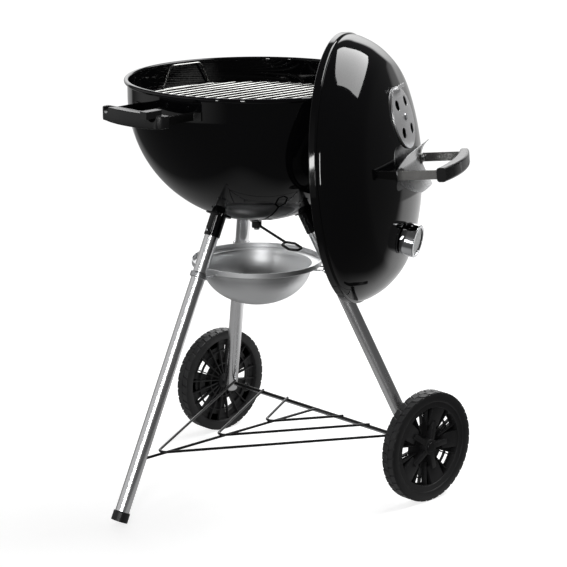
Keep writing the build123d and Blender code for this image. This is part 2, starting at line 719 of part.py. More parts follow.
with BuildPart() as lid_handle_screws:
    for frame in screw_frames:
        with BuildSketch(frame.offset(-8)):
            Circle(2.5)
        extrude(amount=13)
        with BuildSketch(frame.offset(4.6)):
            Circle(4.5)
        extrude(amount=2.6)
write(lid_handle_screws, "lid_handle_screws")

with BuildPart() as lid_handle_nuts:
    for frame in screw_frames:
        with BuildSketch(frame.offset(-6.2)):
            RegularPolygon(4.6, 6)
            Circle(2.52, mode=Mode.SUBTRACT)
        extrude(amount=4)
write(lid_handle_nuts, "lid_handle_nuts")

# ---- lid damper: dished like the crown, so that it turns flat on the lid
damper_side = section(damper_frame)


def dish(radius, height):
    """Height over the damper's frame of a sphere a distance outside the crown."""
    return sqrt((CROWN_R + height) ** 2 - radius ** 2) - CROWN_R


with BuildPart() as lid_damper:
    with BuildSketch(damper_side):
        with BuildLine():
            ThreePointArc((2.6, dish(2.6, 3.6)), (30, dish(30, 3.6)), (DAMPER_R, dish(DAMPER_R, 3.6)))
            Line((DAMPER_R, dish(DAMPER_R, 3.6)), (DAMPER_R, dish(DAMPER_R, 0.4)))
            Line((DAMPER_R, dish(DAMPER_R, 0.4)), (DAMPER_R - 1.2, dish(DAMPER_R - 1.2, 0.4)))
            Line((DAMPER_R - 1.2, dish(DAMPER_R - 1.2, 0.4)), (DAMPER_R - 1.2, dish(DAMPER_R - 1.2, 2.4)))
            ThreePointArc((DAMPER_R - 1.2, dish(DAMPER_R - 1.2, 2.4)), (30, dish(30, 2.4)),
                          (2.6, dish(2.6, 2.4)))
            Line((2.6, dish(2.6, 2.4)), (2.6, dish(2.6, 3.6)))
        make_face()
    revolve(axis=axis_of(damper_frame))
    with BuildSketch(damper_frame):
        with Locations((0, 51.5)):
            Rectangle(40, 1.4)
    extrude(amount=10)
    with BuildSketch(damper_frame.offset(9)):
        with Locations((0, 54)):
            Rectangle(40, 6)
    extrude(amount=1.2)
    with BuildSketch(damper_frame.offset(-6)):
        with GridLocations(2 * DAMPER_HOLE_AT, 2 * DAMPER_HOLE_AT, 2, 2):
            Circle(DAMPER_HOLE_R)
    extrude(amount=12, mode=Mode.SUBTRACT)
write(lid_damper, "lid_damper")

with BuildPart() as lid_damper_rivet:
    with BuildSketch(damper_frame.offset(-3.8)):
        Circle(8)
    extrude(amount=1.6)
    with BuildSketch(damper_frame.offset(-3)):
        Circle(2.54)
    extrude(amount=7)
    with BuildSketch(damper_frame.offset(3.9)):
        Circle(6)
    extrude(amount=2)
    fillet(lid_damper_rivet.faces().sort_by(axis_of(damper_frame))[-1].edges(), 1.4)
write(lid_damper_rivet, "lid_damper_rivet")

# ---- thermometer
CASE_R, BEZEL_R, GAUGE_DEPTH = 28.0, 29.4, 26.5
STEM_R, SPINDLE_R = 3.0, 0.8
gauge = section(thermometer_frame)
gauge_axis = axis_of(thermometer_frame)

with BuildPart() as thermometer_case:
    with BuildSketch(gauge):
        with BuildLine():
            Polyline((STEM_R + 0.05, 0.8), (CASE_R, 0.8), (CASE_R, 24), (CASE_R - 1.5, 24), (CASE_R - 1.5, 2.3),
                     (STEM_R + 0.05, 2.3), close=True)
        make_face()
    revolve(axis=gauge_axis)
write(thermometer_case, "thermometer_case")

with BuildPart() as thermometer_bezel:
    with BuildSketch(gauge):
        with BuildLine():
            Polyline((CASE_R + 0.1, 4), (BEZEL_R, 4), (BEZEL_R, GAUGE_DEPTH - 1), (BEZEL_R - 1, GAUGE_DEPTH),
                     (24, GAUGE_DEPTH), (23.4, GAUGE_DEPTH - 1.5), (CASE_R + 0.1, GAUGE_DEPTH - 1.5),
                     close=True)
        make_face()
    revolve(axis=gauge_axis)
write(thermometer_bezel, "thermometer_bezel")

with BuildPart() as thermometer_dial:
    with BuildSketch(thermometer_frame.offset(16)):
        Circle(CASE_R - 1.6)
        Circle(1.2, mode=Mode.SUBTRACT)
    extrude(amount=1)
write(thermometer_dial, "thermometer_dial")

with BuildPart() as thermometer_lens:
    with BuildSketch(thermometer_frame.offset(23.1)):
        Circle(CASE_R - 1.6)
    extrude(amount=1.7)
write(thermometer_lens, "thermometer_lens")

with BuildPart() as thermometer_stem:
    with BuildSketch(gauge):
        with BuildLine():
            Polyline((0, -62), (STEM_R, -62), (STEM_R, 15.8), (SPINDLE_R + 0.1, 15.8),
                     (SPINDLE_R + 0.1, -55), (0, -55), close=True)
        make_face()
    revolve(axis=gauge_axis)
write(thermometer_stem, "thermometer_stem")

with BuildPart() as thermometer_nut:
    with BuildSketch(thermometer_frame.offset(-6.2)):
        RegularPolygon(8, 6)
        Circle(STEM_R + 0.02, mode=Mode.SUBTRACT)
    extrude(amount=4)
write(thermometer_nut, "thermometer_nut")

with BuildPart() as thermometer_needle:
    with BuildSketch(thermometer_frame.offset(-50)):
        Circle(SPINDLE_R)
    extrude(amount=69)
    with BuildSketch(thermometer_frame.offset(18)):
        Circle(3)
        with BuildLine():
            Polyline((-1.6, -7), (1.6, -7), (0.5, 21), (-0.5, 21), close=True)
        make_face()
    extrude(amount=0.8)
write(thermometer_needle, "thermometer_needle")


# ---- side handles of the bowl
def handle_frame(angle):
    """Level frame at handle height: x along the grip, y outward."""
    return Plane(origin=(0, 0, HANDLE_Z), x_dir=-azimuth(angle + 90), z_dir=(0, 0, 1))


def handle_bracket(frame):
    """Steel strap: two feet on the bowl, two arms and the bar that carries the grip."""
    with BuildPart() as strap:
        with BuildSketch(frame.offset(-7)):
            Circle(BOWL_R + WELD_GAP + 2.5)
            Circle(BOWL_R - 2, mode=Mode.SUBTRACT)
            with Locations((0, BOWL_R - 10)):
                Rectangle(2 * HANDLE_ARM_X + 30, 60, mode=Mode.INTERSECT)
            with Locations((0, BOWL_R - 10)):
                Rectangle(2 * HANDLE_ARM_X - 3, 80, mode=Mode.SUBTRACT)
            for x in (-HANDLE_ARM_X, HANDLE_ARM_X):
                with Locations((x, HANDLE_INNER_Y - 36.8)):
                    Rectangle(3, 80)
            with Locations((0, HANDLE_INNER_Y + 1.7)):
                Rectangle(2 * HANDLE_ARM_X + 3, 3)
        extrude(amount=14)
        add(bowl_outside, mode=Mode.SUBTRACT)
        for x in (-HANDLE_SCREW_X, HANDLE_SCREW_X):
            with BuildSketch(Plane(origin=shifted(frame, x=x, y=HANDLE_INNER_Y - 5).origin, z_dir=frame.y_dir)):
                Circle(2.5)
            extrude(amount=12, mode=Mode.SUBTRACT)
    return strap


def handle_grip(frame):
    """Bowed plastic grip with a channel for the strap and a tool rest near each end."""
    low = frame.offset(-HANDLE_TALL / 2)
    with BuildPart() as grip:
        with BuildSketch(low):
            with BuildLine():
                Polyline((-HANDLE_HALF, HANDLE_END_Y), (-HANDLE_HALF, HANDLE_INNER_Y),
                         (HANDLE_HALF, HANDLE_INNER_Y), (HANDLE_HALF, HANDLE_END_Y))
                ThreePointArc((HANDLE_HALF, HANDLE_END_Y), (0, HANDLE_OUTER_Y), (-HANDLE_HALF, HANDLE_END_Y))
            make_face()
        extrude(amount=HANDLE_TALL)
        fillet(grip.edges().filter_by(GeomType.CIRCLE), 5)
        with BuildSketch(frame.offset(-7.15)):
            with Locations((0, HANDLE_INNER_Y)):
                Rectangle(2 * HANDLE_ARM_X + 3.4, 6.7)
        extrude(amount=14.3, mode=Mode.SUBTRACT)
        with BuildSketch(frame):
            for x in (-TOOL_REST_X, TOOL_REST_X):
                with Locations((x, HANDLE_INNER_Y + 20)):
                    Rectangle(TOOL_REST_WIDTH, 28)
        extrude(amount=HANDLE_TALL, mode=Mode.SUBTRACT)
        for x in (-HANDLE_SCREW_X, HANDLE_SCREW_X):
            with BuildSketch(Plane(origin=shifted(frame, x=x, y=HANDLE_INNER_Y).origin, z_dir=frame.y_dir)):
                Circle(2.44)
            extrude(amount=14.5, mode=Mode.SUBTRACT)
    return grip


def handle_screws(frame):
    """Two pan-head screws from behind the strap."""
    with BuildPart() as screws:
        for x in (-HANDLE_SCREW_X, HANDLE_SCREW_X):
            back = Plane(origin=shifted(frame, x=x, y=HANDLE_INNER_Y - 2.5).origin, z_dir=frame.y_dir)
            with BuildSketch(back):
                Circle(4.2)
            extrude(amount=2.6)
            with BuildSketch(back):
                Circle(2.4)
            extrude(amount=16)
    return screws


for name, angle in zip(("front", "back"), HANDLE_AZIMUTHS):
    frame = handle_frame(angle)
    write(handle_bracket(frame), f"bowl_handle_bracket_{name}")
    write(handle_grip(frame), f"bowl_handle_grip_{name}")
    write(handle_screws(frame), f"bowl_handle_screws_{name}")
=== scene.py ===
# %% [markdown]
# # A kettle charcoal grill, dressed for its portrait
# The engineering model of the grill is already exact: every tube, wire and hole is where it belongs.
# What it lacks is finish. This lesson loads that model, keeps each part whose shape is right, and
# builds smoother or richer pieces where a shiny surface would show every facet.

import json
from math import asin, cos, degrees, pi, radians, sin, sqrt

import bmesh
import bpy
from mathutils import Matrix, Vector
from mathutils.geometry import interpolate_bezier


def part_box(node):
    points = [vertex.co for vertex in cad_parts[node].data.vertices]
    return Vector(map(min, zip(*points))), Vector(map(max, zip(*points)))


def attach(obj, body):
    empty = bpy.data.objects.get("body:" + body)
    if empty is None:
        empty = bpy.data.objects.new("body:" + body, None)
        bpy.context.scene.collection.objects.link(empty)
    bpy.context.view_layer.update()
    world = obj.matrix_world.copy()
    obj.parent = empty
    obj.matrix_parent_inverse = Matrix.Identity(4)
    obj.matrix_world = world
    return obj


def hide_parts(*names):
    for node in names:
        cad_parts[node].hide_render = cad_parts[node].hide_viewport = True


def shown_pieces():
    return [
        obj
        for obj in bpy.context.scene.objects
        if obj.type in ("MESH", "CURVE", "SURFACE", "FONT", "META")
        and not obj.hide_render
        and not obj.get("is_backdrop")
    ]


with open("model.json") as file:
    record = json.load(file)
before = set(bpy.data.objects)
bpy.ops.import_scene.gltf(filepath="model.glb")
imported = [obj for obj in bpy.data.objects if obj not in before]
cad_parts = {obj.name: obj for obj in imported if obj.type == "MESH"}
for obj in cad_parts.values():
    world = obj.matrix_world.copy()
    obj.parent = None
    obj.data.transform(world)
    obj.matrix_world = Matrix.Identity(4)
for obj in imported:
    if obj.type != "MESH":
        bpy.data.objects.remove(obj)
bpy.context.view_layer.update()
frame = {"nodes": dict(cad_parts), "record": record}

# %% [markdown]
# Drawings of sheet metal are in millimetres and Blender works in metres. One constant turns one into
# the other. The bowl's upright axis is the line that most parts are drawn round.

# %% Units and the bowl's axis
MM = 0.001
UP = Vector((0, 0, 1))
bowl_low, bowl_high = (Vector(corner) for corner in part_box("bowl"))
BOWL_AXIS = (bowl_low + bowl_high) / 2 * Vector((1, 1, 0))
print("bowl axis at", tuple(round(c / MM, 2) for c in BOWL_AXIS), "mm")


def heading(angle):
    """Level direction at an angle in degrees from +X."""
    return Vector((cos(radians(angle)), sin(radians(angle)), 0))


def placed(origin, across, out):
    """Matrix that stands a piece drawn round Z at origin, with its Z along out and its X along across."""
    out = out.normalized()
    across = (across - out * across.dot(out)).normalized()
    turn = Matrix((across, out.cross(across), out)).transposed()
    return Matrix.Translation(origin) @ turn.to_4x4()


at_bowl = Matrix.Translation(BOWL_AXIS)

# %% [markdown]
# ## The camera, the floor and the light
# A product portrait on white: a long lens from a little above, a white floor that runs into a white
# background, and large soft boxes. Black enamel shows nothing but reflections, so where the soft boxes
# stand decides how the lid and the bowl look.

# %% Camera
scene = bpy.context.scene
camera_data = bpy.data.cameras.new("portrait_lens")
camera_data.sensor_width = 36.0
camera_data.lens = 140.7
camera_data.clip_end = 100.0
camera = bpy.data.objects.new("portrait_camera", camera_data)
scene.collection.objects.link(camera)
camera.location = BOWL_AXIS + Vector((2.8746, -2.6268, 1.400))
camera.rotation_euler = Vector((-0.7059, 0.6613, -0.2537)).to_track_quat("-Z", "Y").to_euler()
scene.camera = camera
scene.view_settings.view_transform = "Standard"
print("camera at", tuple(camera.location))

# %% [markdown]
# Colours are picked as the screen shows them, as hex values. Shaders want them linear, so one function
# makes the change. One more function adds a node with its settings and its links.


# %% Colour and node helpers
def linear(hex_colour):
    """Linear red, green, blue and alpha of a screen colour such as #2b2b2b."""
    parts = [int(hex_colour[i:i + 2], 16) / 255 for i in (1, 3, 5)]
    return tuple(c / 12.92 if c <= 0.04045 else ((c + 0.055) / 1.055) ** 2.4 for c in parts) + (1.0,)


def add_node(tree, kind, inputs=None, **settings):
    """Add a node. An input given as a socket is linked, and any other value is set on it."""
    node = tree.nodes.new(kind)
    for name, value in settings.items():
        setattr(node, name, value)
    for name, value in (inputs or {}).items():
        if isinstance(value, bpy.types.NodeSocket):
            tree.links.new(value, node.inputs[name])
        else:
            node.inputs[name].default_value = value
    return node


def new_material(name, **shader):
    """A material with one Principled shader. Returns the material, its tree and that shader."""
    material = bpy.data.materials.new(name)
    material.use_nodes = True
    tree = material.node_tree
    tree.nodes.clear()
    surface = add_node(tree, "ShaderNodeBsdfPrincipled", {k.replace("_", " "): v for k, v in shader.items()})
    add_node(tree, "ShaderNodeOutputMaterial", {"Surface": surface.outputs["BSDF"]})
    return material, tree, surface


def object_place(tree, scale=(1, 1, 1), location=(0, 0, 0), rotation=(0, 0, 0)):
    """Object coordinates through a Mapping node."""
    place = add_node(tree, "ShaderNodeTexCoord")
    mapped = add_node(tree, "ShaderNodeMapping", {
        "Vector": place.outputs["Object"], "Scale": scale, "Location": location, "Rotation": rotation})
    return mapped.outputs["Vector"]


def ramp(tree, factor, *stops):
    """Colour ramp from (position, hex) stops."""
    node = add_node(tree, "ShaderNodeValToRGB", {"Fac": factor})
    while len(node.color_ramp.elements) < len(stops):
        node.color_ramp.elements.new(0.5)
    for element, (position, colour) in zip(node.color_ramp.elements, stops):
        element.position = position
        element.color = linear(colour)
    return node.outputs["Color"]


def spread(tree, factor, low, high):
    """Turn a 0 to 1 pattern into a range of plain values, such as roughness."""
    return add_node(tree, "ShaderNodeMapRange", {"Value": factor, "To Min": low, "To Max": high}).outputs["Result"]


def bump(tree, surface, height, strength, depth_mm):
    """Let a pattern stand out of the surface by a real depth."""
    node = add_node(tree, "ShaderNodeBump", {"Height": height, "Strength": strength, "Distance": depth_mm * MM})
    tree.links.new(node.outputs["Normal"], surface.inputs["Normal"])


# %% [markdown]
# The floor is a plain white disc. The camera sees it white, with the soft shadows that the lights
# throw. What the metal and enamel see of it is dimmer, and brightest behind the grill, because black
# enamel would turn grey all over above an evenly lit floor.

# %% Floor
floor_mesh = bpy.data.meshes.new("studio_floor")
bm = bmesh.new()
bmesh.ops.create_circle(bm, cap_ends=True, segments=96, radius=2.6)
bm.to_mesh(floor_mesh)
bm.free()
floor = bpy.data.objects.new("studio_floor", floor_mesh)
scene.collection.objects.link(floor)
floor.location = (0, 0, -0.0005)
floor_paint, tree, seen = new_material(
    "matt_white_floor", Base_Color=linear("#c8c8c8"), Roughness=0.9,
    Emission_Color=(1, 1, 1, 1), Emission_Strength=0.76)
seen.inputs["Specular IOR Level"].default_value = 0.0
spot = add_node(tree, "ShaderNodeTexCoord").outputs["Object"]


def floor_step(along, low, high, dim, bright):
    """Brightness that rises from dim to bright along a level direction."""
    reach = add_node(tree, "ShaderNodeVectorMath", {0: spot, 1: along}, operation="DOT_PRODUCT").outputs["Value"]
    return add_node(tree, "ShaderNodeMapRange", {
        "Value": reach, "From Min": low, "From Max": high, "To Min": dim, "To Max": bright},
        interpolation_type="SMOOTHSTEP").outputs["Result"]


behind = floor_step((0.55, 0.83, 0), 0.12, 0.5, 0.30, 0.85)
in_front = floor_step((0.3, 0.95, 0), -0.62, -0.2, 0.02, 1.0)
beside = floor_step((-1, 0, 0), -0.46, -0.12, 0.05, 1.0)
near = add_node(tree, "ShaderNodeMath", {0: behind, 1: in_front}, operation="MULTIPLY").outputs["Value"]
glow = add_node(tree, "ShaderNodeMath", {0: near, 1: beside}, operation="MULTIPLY").outputs["Value"]
glow = add_node(tree, "ShaderNodeMath", {0: glow, 1: 0.075}, operation="MAXIMUM").outputs["Value"]
bounce = add_node(tree, "ShaderNodeEmission", {"Color": (1, 1, 1, 1), "Strength": glow})
sight = add_node(tree, "ShaderNodeLightPath").outputs["Is Camera Ray"]
mixed = add_node(tree, "ShaderNodeMixShader", {0: sight, 1: bounce.outputs[0], 2: seen.outputs[0]})
tree.links.new(mixed.outputs[0], tree.nodes["Material Output"].inputs["Surface"])
floor_mesh.materials.append(floor_paint)
floor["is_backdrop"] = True

# %% [markdown]
# The world is white only where the camera looks past the floor. What the metal and enamel see is a
# dark room with a bright backdrop behind the grill, which gets brighter upward, the foot of that
# backdrop where it sweeps into the floor, and a dim grey card to the left of the camera.

# %% World
world = bpy.data.worlds.new("studio")
scene.world = world
world.use_nodes = True
tree = world.node_tree
tree.nodes.clear()
direction = add_node(tree, "ShaderNodeTexCoord").outputs["Generated"]


def facing(azimuth, elevation, inner, outer, low, high):
    """A round patch of light in the room: full inside one angle from its middle, gone past another."""
    middle = heading(azimuth) * cos(radians(elevation)) + UP * sin(radians(elevation))
    toward = add_node(tree, "ShaderNodeVectorMath", {0: direction, 1: tuple(middle)},
                      operation="DOT_PRODUCT").outputs["Value"]
    return add_node(tree, "ShaderNodeMapRange", {
        "Value": toward, "From Min": cos(radians(outer)), "From Max": cos(radians(inner)),
        "To Min": low, "To Max": high}, interpolation_type="SMOOTHSTEP").outputs["Result"]


height = add_node(tree, "ShaderNodeSeparateXYZ", {"Vector": direction}).outputs["Z"]
upward = add_node(tree, "ShaderNodeMapRange", {
    "Value": height, "From Min": -0.05, "From Max": 0.42, "To Min": 0.55, "To Max": 3.0}).outputs["Result"]
backdrop = add_node(tree, "ShaderNodeMath", {0: facing(141, 0, 29, 35, 0.0, 1.0), 1: upward},
                    operation="MULTIPLY").outputs["Value"]
card = facing(-125, 0, 20, 60, 0.075, 0.5)
backdrop_foot = facing(114, -16, 23, 28, 0.0, 0.38)
cards = add_node(tree, "ShaderNodeMath", {0: card, 1: backdrop_foot}, operation="MAXIMUM").outputs["Value"]
room = add_node(tree, "ShaderNodeMath", {0: backdrop, 1: cards}, operation="MAXIMUM").outputs["Value"]
room_light = add_node(tree, "ShaderNodeBackground", {"Color": (1, 1, 1, 1), "Strength": room})
white = add_node(tree, "ShaderNodeBackground", {"Color": (1, 1, 1, 1), "Strength": 1.05})
sight = add_node(tree, "ShaderNodeLightPath").outputs["Is Camera Ray"]
both = add_node(tree, "ShaderNodeMixShader", {0: sight, 1: room_light.outputs[0], 2: white.outputs[0]})
add_node(tree, "ShaderNodeOutputWorld", {"Surface": both.outputs[0]})


# %% [markdown]
# A large box overhead to the right makes the bright window on the lid's shoulder, and it is rolled a
# little so that the window leans. Two tall thin strips beside the camera draw the pair of bright lines
# down the lid's lip. Each light's energy is worked out from how bright its face should look.

# %% Soft boxes
def soft_box(name, azimuth, elevation, distance, width, tall, glare, roll=0.0, target=(0.0, 0.0, 0.55)):
    """Rectangular area light that stands round the grill and faces it, by how bright it looks."""
    data = bpy.data.lights.new(name, "AREA")
    data.shape = "RECTANGLE"
    data.size = width
    data.size_y = tall
    data.energy = glare * pi * width * tall
    lamp = bpy.data.objects.new(name, data)
    out = heading(azimuth) * cos(radians(elevation)) + UP * sin(radians(elevation))
    lamp.location = Vector(target) + out * distance
    facing_in = (-out).to_track_quat("-Z", "Y").to_matrix()
    lamp.rotation_euler = (facing_in @ Matrix.Rotation(radians(roll), 3, "Z")).to_euler()
    scene.collection.objects.link(lamp)
    return lamp


soft_box("key_box", 83.5, 56, 2.6, 2.15, 1.5, 7.5, roll=-20, target=(0.2, 0.1, 0.6))
soft_box("strip_one", -79, 10, 2.7, 0.08, 1.3, 24, target=(0.2, -0.12, 0.6))
soft_box("strip_two", -56, 12, 2.7, 0.16, 1.3, 26, target=(0.2, -0.12, 0.6))
print("floor, world and soft boxes ready")

# %% [markdown]
# ## Shaping helpers
# Most of this grill is turned or pressed round an axis, so a piece usually starts as a few points of
# its section, and `bmesh.ops.spin` turns them round. An arc of a section is itself a spun point.


# %% Arcs, curves and turned shapes
def arc(bm, start, centre, angle, steps):
    """Spin a point in the XZ plane round a centre. Returns the new edge chain's points in order."""
    vert = bm.verts.new((start[0], 0, start[1]))
    chain = [vert.co.copy()]
    for step in range(steps):
        turned = bmesh.ops.spin(
            bm, geom=[vert], cent=(centre[0], 0, centre[1]), axis=(0, 1, 0),
            angle=radians(angle) / steps, steps=1)
        vert = [g for g in turned["geom_last"] if isinstance(g, bmesh.types.BMVert)][0]
        chain.append(vert.co.copy())
    return chain


def outline_to_bmesh(points, close):
    """A section's edges in the XZ plane from (radius, height) points."""
    bm = bmesh.new()
    verts = [bm.verts.new((x, 0, z)) for x, z in points]
    for a, b in zip(verts, verts[1:]):
        bm.edges.new((a, b))
    if close:
        bm.edges.new((verts[-1], verts[0]))
    return bm


def turn_round(bm, steps):
    """Spin all of a section a full turn round Z, and close its seam and poles."""
    bmesh.ops.spin(bm, geom=bm.verts[:] + bm.edges[:], cent=(0, 0, 0), axis=(0, 0, 1),
                   angle=2 * pi, steps=steps, use_merge=True)
    bmesh.ops.remove_doubles(bm, verts=bm.verts, dist=0.002)
    bmesh.ops.dissolve_degenerate(bm, edges=bm.edges, dist=0.0005)
    bmesh.ops.recalc_face_normals(bm, faces=bm.faces)
    return bm


def join(bm, part):
    """Add one bmesh's shape to another, and free it."""
    mesh = bpy.data.meshes.new("part")
    part.to_mesh(mesh)
    part.free()
    bm.from_mesh(mesh)
    bpy.data.meshes.remove(mesh)


def in_place(bm, matrix, name):
    """Turn a bmesh in millimetres into a mesh in metres, stood where a matrix says."""
    bmesh.ops.scale(bm, vec=(MM, MM, MM), verts=bm.verts)
    bmesh.ops.transform(bm, matrix=matrix, verts=bm.verts)
    mesh = bpy.data.meshes.new(name)
    bm.to_mesh(mesh)
    bm.free()
    return mesh


def curved(points, steps=8):
    """Smooth run of points through (x, z, direction) stations; direction is in degrees from +X."""
    run = []
    for (x0, z0, a0), (x1, z1, a1) in zip(points, points[1:]):
        start, end = Vector((x0, z0, 0)), Vector((x1, z1, 0))
        reach = (end - start).length / 3
        first = start + heading(a0) * reach
        second = end - heading(a1) * reach
        piece = interpolate_bezier(start, first, second, end, steps + 1)
        run += [(p.x, p.y) for p in piece[:-1]]
    return run + [points[-1][:2]]


def circle_points(cx, cz, radius, steps=16, start=0.0):
    """Round section of a wire or bead, as a spun point."""
    bm = bmesh.new()
    chain = arc(bm, (cx + radius * cos(radians(start)), cz + radius * sin(radians(start))), (cx, cz), 360, steps)
    bm.free()
    return [(p.x, p.z) for p in chain[:-1]]


# %% [markdown]
# A finished piece gets smooth shading with sharp edges where two faces meet steeply, a material and the
# body that it moves with, and the engineering part that it stands for is hidden.


# %% Finishing helpers
def smooth_by_angle(mesh, angle):
    mesh.shade_smooth()
    mesh.set_sharp_from_angle(angle=radians(angle))


def finish_piece(bm, name, node, material, sharp=32, matrix=None):
    """Make an object from a bmesh in millimetres, or in metres when no matrix is given."""
    mesh = bpy.data.meshes.new(name)
    if matrix is not None:
        bmesh.ops.scale(bm, vec=(MM, MM, MM), verts=bm.verts)
        bmesh.ops.transform(bm, matrix=matrix, verts=bm.verts)
    bm.to_mesh(mesh)
    bm.free()
    smooth_by_angle(mesh, sharp)
    piece = bpy.data.objects.new(name, mesh)
    scene.collection.objects.link(piece)
    mesh.materials.append(material)
    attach(piece, body_of_node[node])
    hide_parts(node)
    return piece


body_of_node = {n: b for b, members in frame["record"]["behaviour"]["bodies"].items() for n in members}


def merged_copy(node):
    """A copy of an engineering part's mesh, its loose triangles merged and its flat faces made whole."""
    bm = bmesh.new()
    bm.from_mesh(frame["nodes"][node].data)
    bmesh.ops.remove_doubles(bm, verts=bm.verts, dist=1e-6)
    bmesh.ops.dissolve_limit(bm, angle_limit=radians(0.4), verts=bm.verts, edges=bm.edges,
                             delimit={"NORMAL"})
    return bm


def polished_copy(node, material, edge_mm=0.4, sharp=30, segments=2):
    """The same shape with smooth curves and small rounded edges, for parts whose shape is right."""
    piece = finish_piece(merged_copy(node), node + "_finished", node, material, sharp)
    if edge_mm:
        rounding = piece.modifiers.new("rounded_edges", "BEVEL")
        rounding.width = edge_mm * MM
        rounding.segments = segments
        rounding.limit_method = "ANGLE"
        rounding.angle_limit = radians(sharp)
        rounding.harden_normals = True
        rounding.use_clamp_overlap = True
    return piece


def cut(piece, *cutters):
    """Cut holes with closed shapes, and keep the result as plain mesh."""
    for number, cutter in enumerate(cutters):
        tool = bpy.data.objects.new(f"cutter_{number}", cutter)
        scene.collection.objects.link(tool)
        hole = piece.modifiers.new(f"hole_{number}", "BOOLEAN")
        hole.object = tool
        hole.solver = "EXACT"
    bpy.context.view_layer.update()
    result = bpy.data.meshes.new_from_object(piece.evaluated_get(bpy.context.evaluated_depsgraph_get()))
    tools = [m.object for m in piece.modifiers if m.type == "BOOLEAN"]
    piece.modifiers.clear()
    piece.data = result
    for tool in tools:
        bpy.data.objects.remove(tool)
    return piece


def rod(radius, low, high, matrix, sides=40):
    """Closed cylinder from low to high along its own Z, in millimetres, as a mesh."""
    bm = bmesh.new()
    bmesh.ops.create_cone(bm, cap_ends=True, segments=sides, radius1=radius, radius2=radius, depth=high - low)
    bmesh.ops.translate(bm, vec=(0, 0, (high + low) / 2), verts=bm.verts)
    return in_place(bm, matrix, "rod")


def box_shape(low, high, matrix):
    """Closed box between two corners in millimetres, as a mesh."""
    bm = bmesh.new()
    bmesh.ops.create_cube(bm, size=1.0)
    low, high = Vector(low), Vector(high)
    bmesh.ops.scale(bm, vec=high - low, verts=bm.verts)
    bmesh.ops.translate(bm, vec=(low + high) / 2, verts=bm.verts)
    return in_place(bm, matrix, "box")


# %% [markdown]
# ## Finishes
# Porcelain enamel is glass melted onto steel. It is jet black, mirror smooth, and has a faint
# waviness, like orange peel, that bends long reflections a little.

# %% Porcelain enamel
enamel, tree, surface = new_material("porcelain_enamel_black", Base_Color=linear("#070708"),
                                     Roughness=0.035, IOR=1.42)
ripple = add_node(tree, "ShaderNodeTexNoise", {"Vector": object_place(tree), "Scale": 1 / (9 * MM), "Detail": 1.0})
speck = add_node(tree, "ShaderNodeTexNoise", {"Vector": object_place(tree), "Scale": 1 / (1.5 * MM), "Detail": 2.0})
tree.links.new(ramp(tree, speck.outputs["Fac"], (0.35, "#060607"), (0.7, "#0b0b0d")), surface.inputs["Base Color"])
tree.links.new(spread(tree, ripple.outputs["Fac"], 0.03, 0.055), surface.inputs["Roughness"])
bump(tree, surface, ripple.outputs["Fac"], 0.35, 0.02)

# %% [markdown]
# The leg tubes are polished steel. Drawing the tube through a die leaves hair-thin lines along it, so
# a noise squeezed hard across the tube and hardly at all along it roughens it in lines.


# %% Polished tube, one per direction
def drawn_metal(name, along, base, rough_low, rough_high, line_mm=0.6, depth_mm=0.004):
    """Metal with fine lines along a direction."""
    material, tree, surface = new_material(name, Base_Color=linear(base), Metallic=1.0, Roughness=rough_low)
    turn = Vector(along).to_track_quat("Z", "Y").to_matrix().inverted().to_euler()
    lines = add_node(tree, "ShaderNodeTexNoise", {
        "Vector": object_place(tree, scale=(1, 1, 0.02), rotation=tuple(turn)),
        "Scale": 1 / (line_mm * MM), "Detail": 2.0})
    cloud = add_node(tree, "ShaderNodeTexNoise", {"Vector": object_place(tree), "Scale": 1 / (60 * MM), "Detail": 1.0})
    both = add_node(tree, "ShaderNodeMath", {0: lines.outputs["Fac"], 1: cloud.outputs["Fac"]}, operation="MULTIPLY")
    tree.links.new(spread(tree, both.outputs[0], rough_low, rough_high), surface.inputs["Roughness"])
    bump(tree, surface, lines.outputs["Fac"], 0.3, depth_mm)
    return material


# %% [markdown]
# Spun or pressed aluminium keeps the tool's rings round its middle. A wave on the distance from the
# axis draws them; the rings are drawn coarser than real so that they show.


# %% Spun metal
def spun_metal(name, matrix, base, rough, ring_mm, depth_mm):
    """Metal with rings round the Z axis of a matrix."""
    material, tree, surface = new_material(name, Base_Color=linear(base), Metallic=1.0, Roughness=rough)
    back = matrix.inverted()
    place = object_place(tree, location=tuple(back.translation), rotation=tuple(back.to_euler()))
    flat = add_node(tree, "ShaderNodeVectorMath", {0: place, 1: (1, 1, 0)}, operation="MULTIPLY").outputs["Vector"]
    radius = add_node(tree, "ShaderNodeVectorMath", {0: flat}, operation="LENGTH").outputs["Value"]
    rings = add_node(tree, "ShaderNodeTexNoise", {"W": radius, "Scale": 1 / (ring_mm * MM), "Detail": 3.0},
                     noise_dimensions="1D")
    cloud = add_node(tree, "ShaderNodeTexNoise", {"Vector": place, "Scale": 1 / (40 * MM), "Detail": 2.0})
    mixed = add_node(tree, "ShaderNodeMath", {0: rings.outputs["Fac"], 1: cloud.outputs["Fac"]}, operation="ADD")
    half = add_node(tree, "ShaderNodeMath", {0: mixed.outputs[0], 1: 0.5}, operation="MULTIPLY")
    tree.links.new(spread(tree, half.outputs[0], rough * 0.75, rough * 1.35), surface.inputs["Roughness"])
    bump(tree, surface, rings.outputs["Fac"], 0.25, depth_mm)
    return material


pan_aluminium = spun_metal("spun_aluminium", at_bowl, "#f4f5f6", 0.42, 1.2, 0.015)

# %% [markdown]
# Zinc-plated wire and screws are bright with a slightly cloudy film. Rolled aluminium sheet has a
# soft grain. Chrome plate is clean and hard.


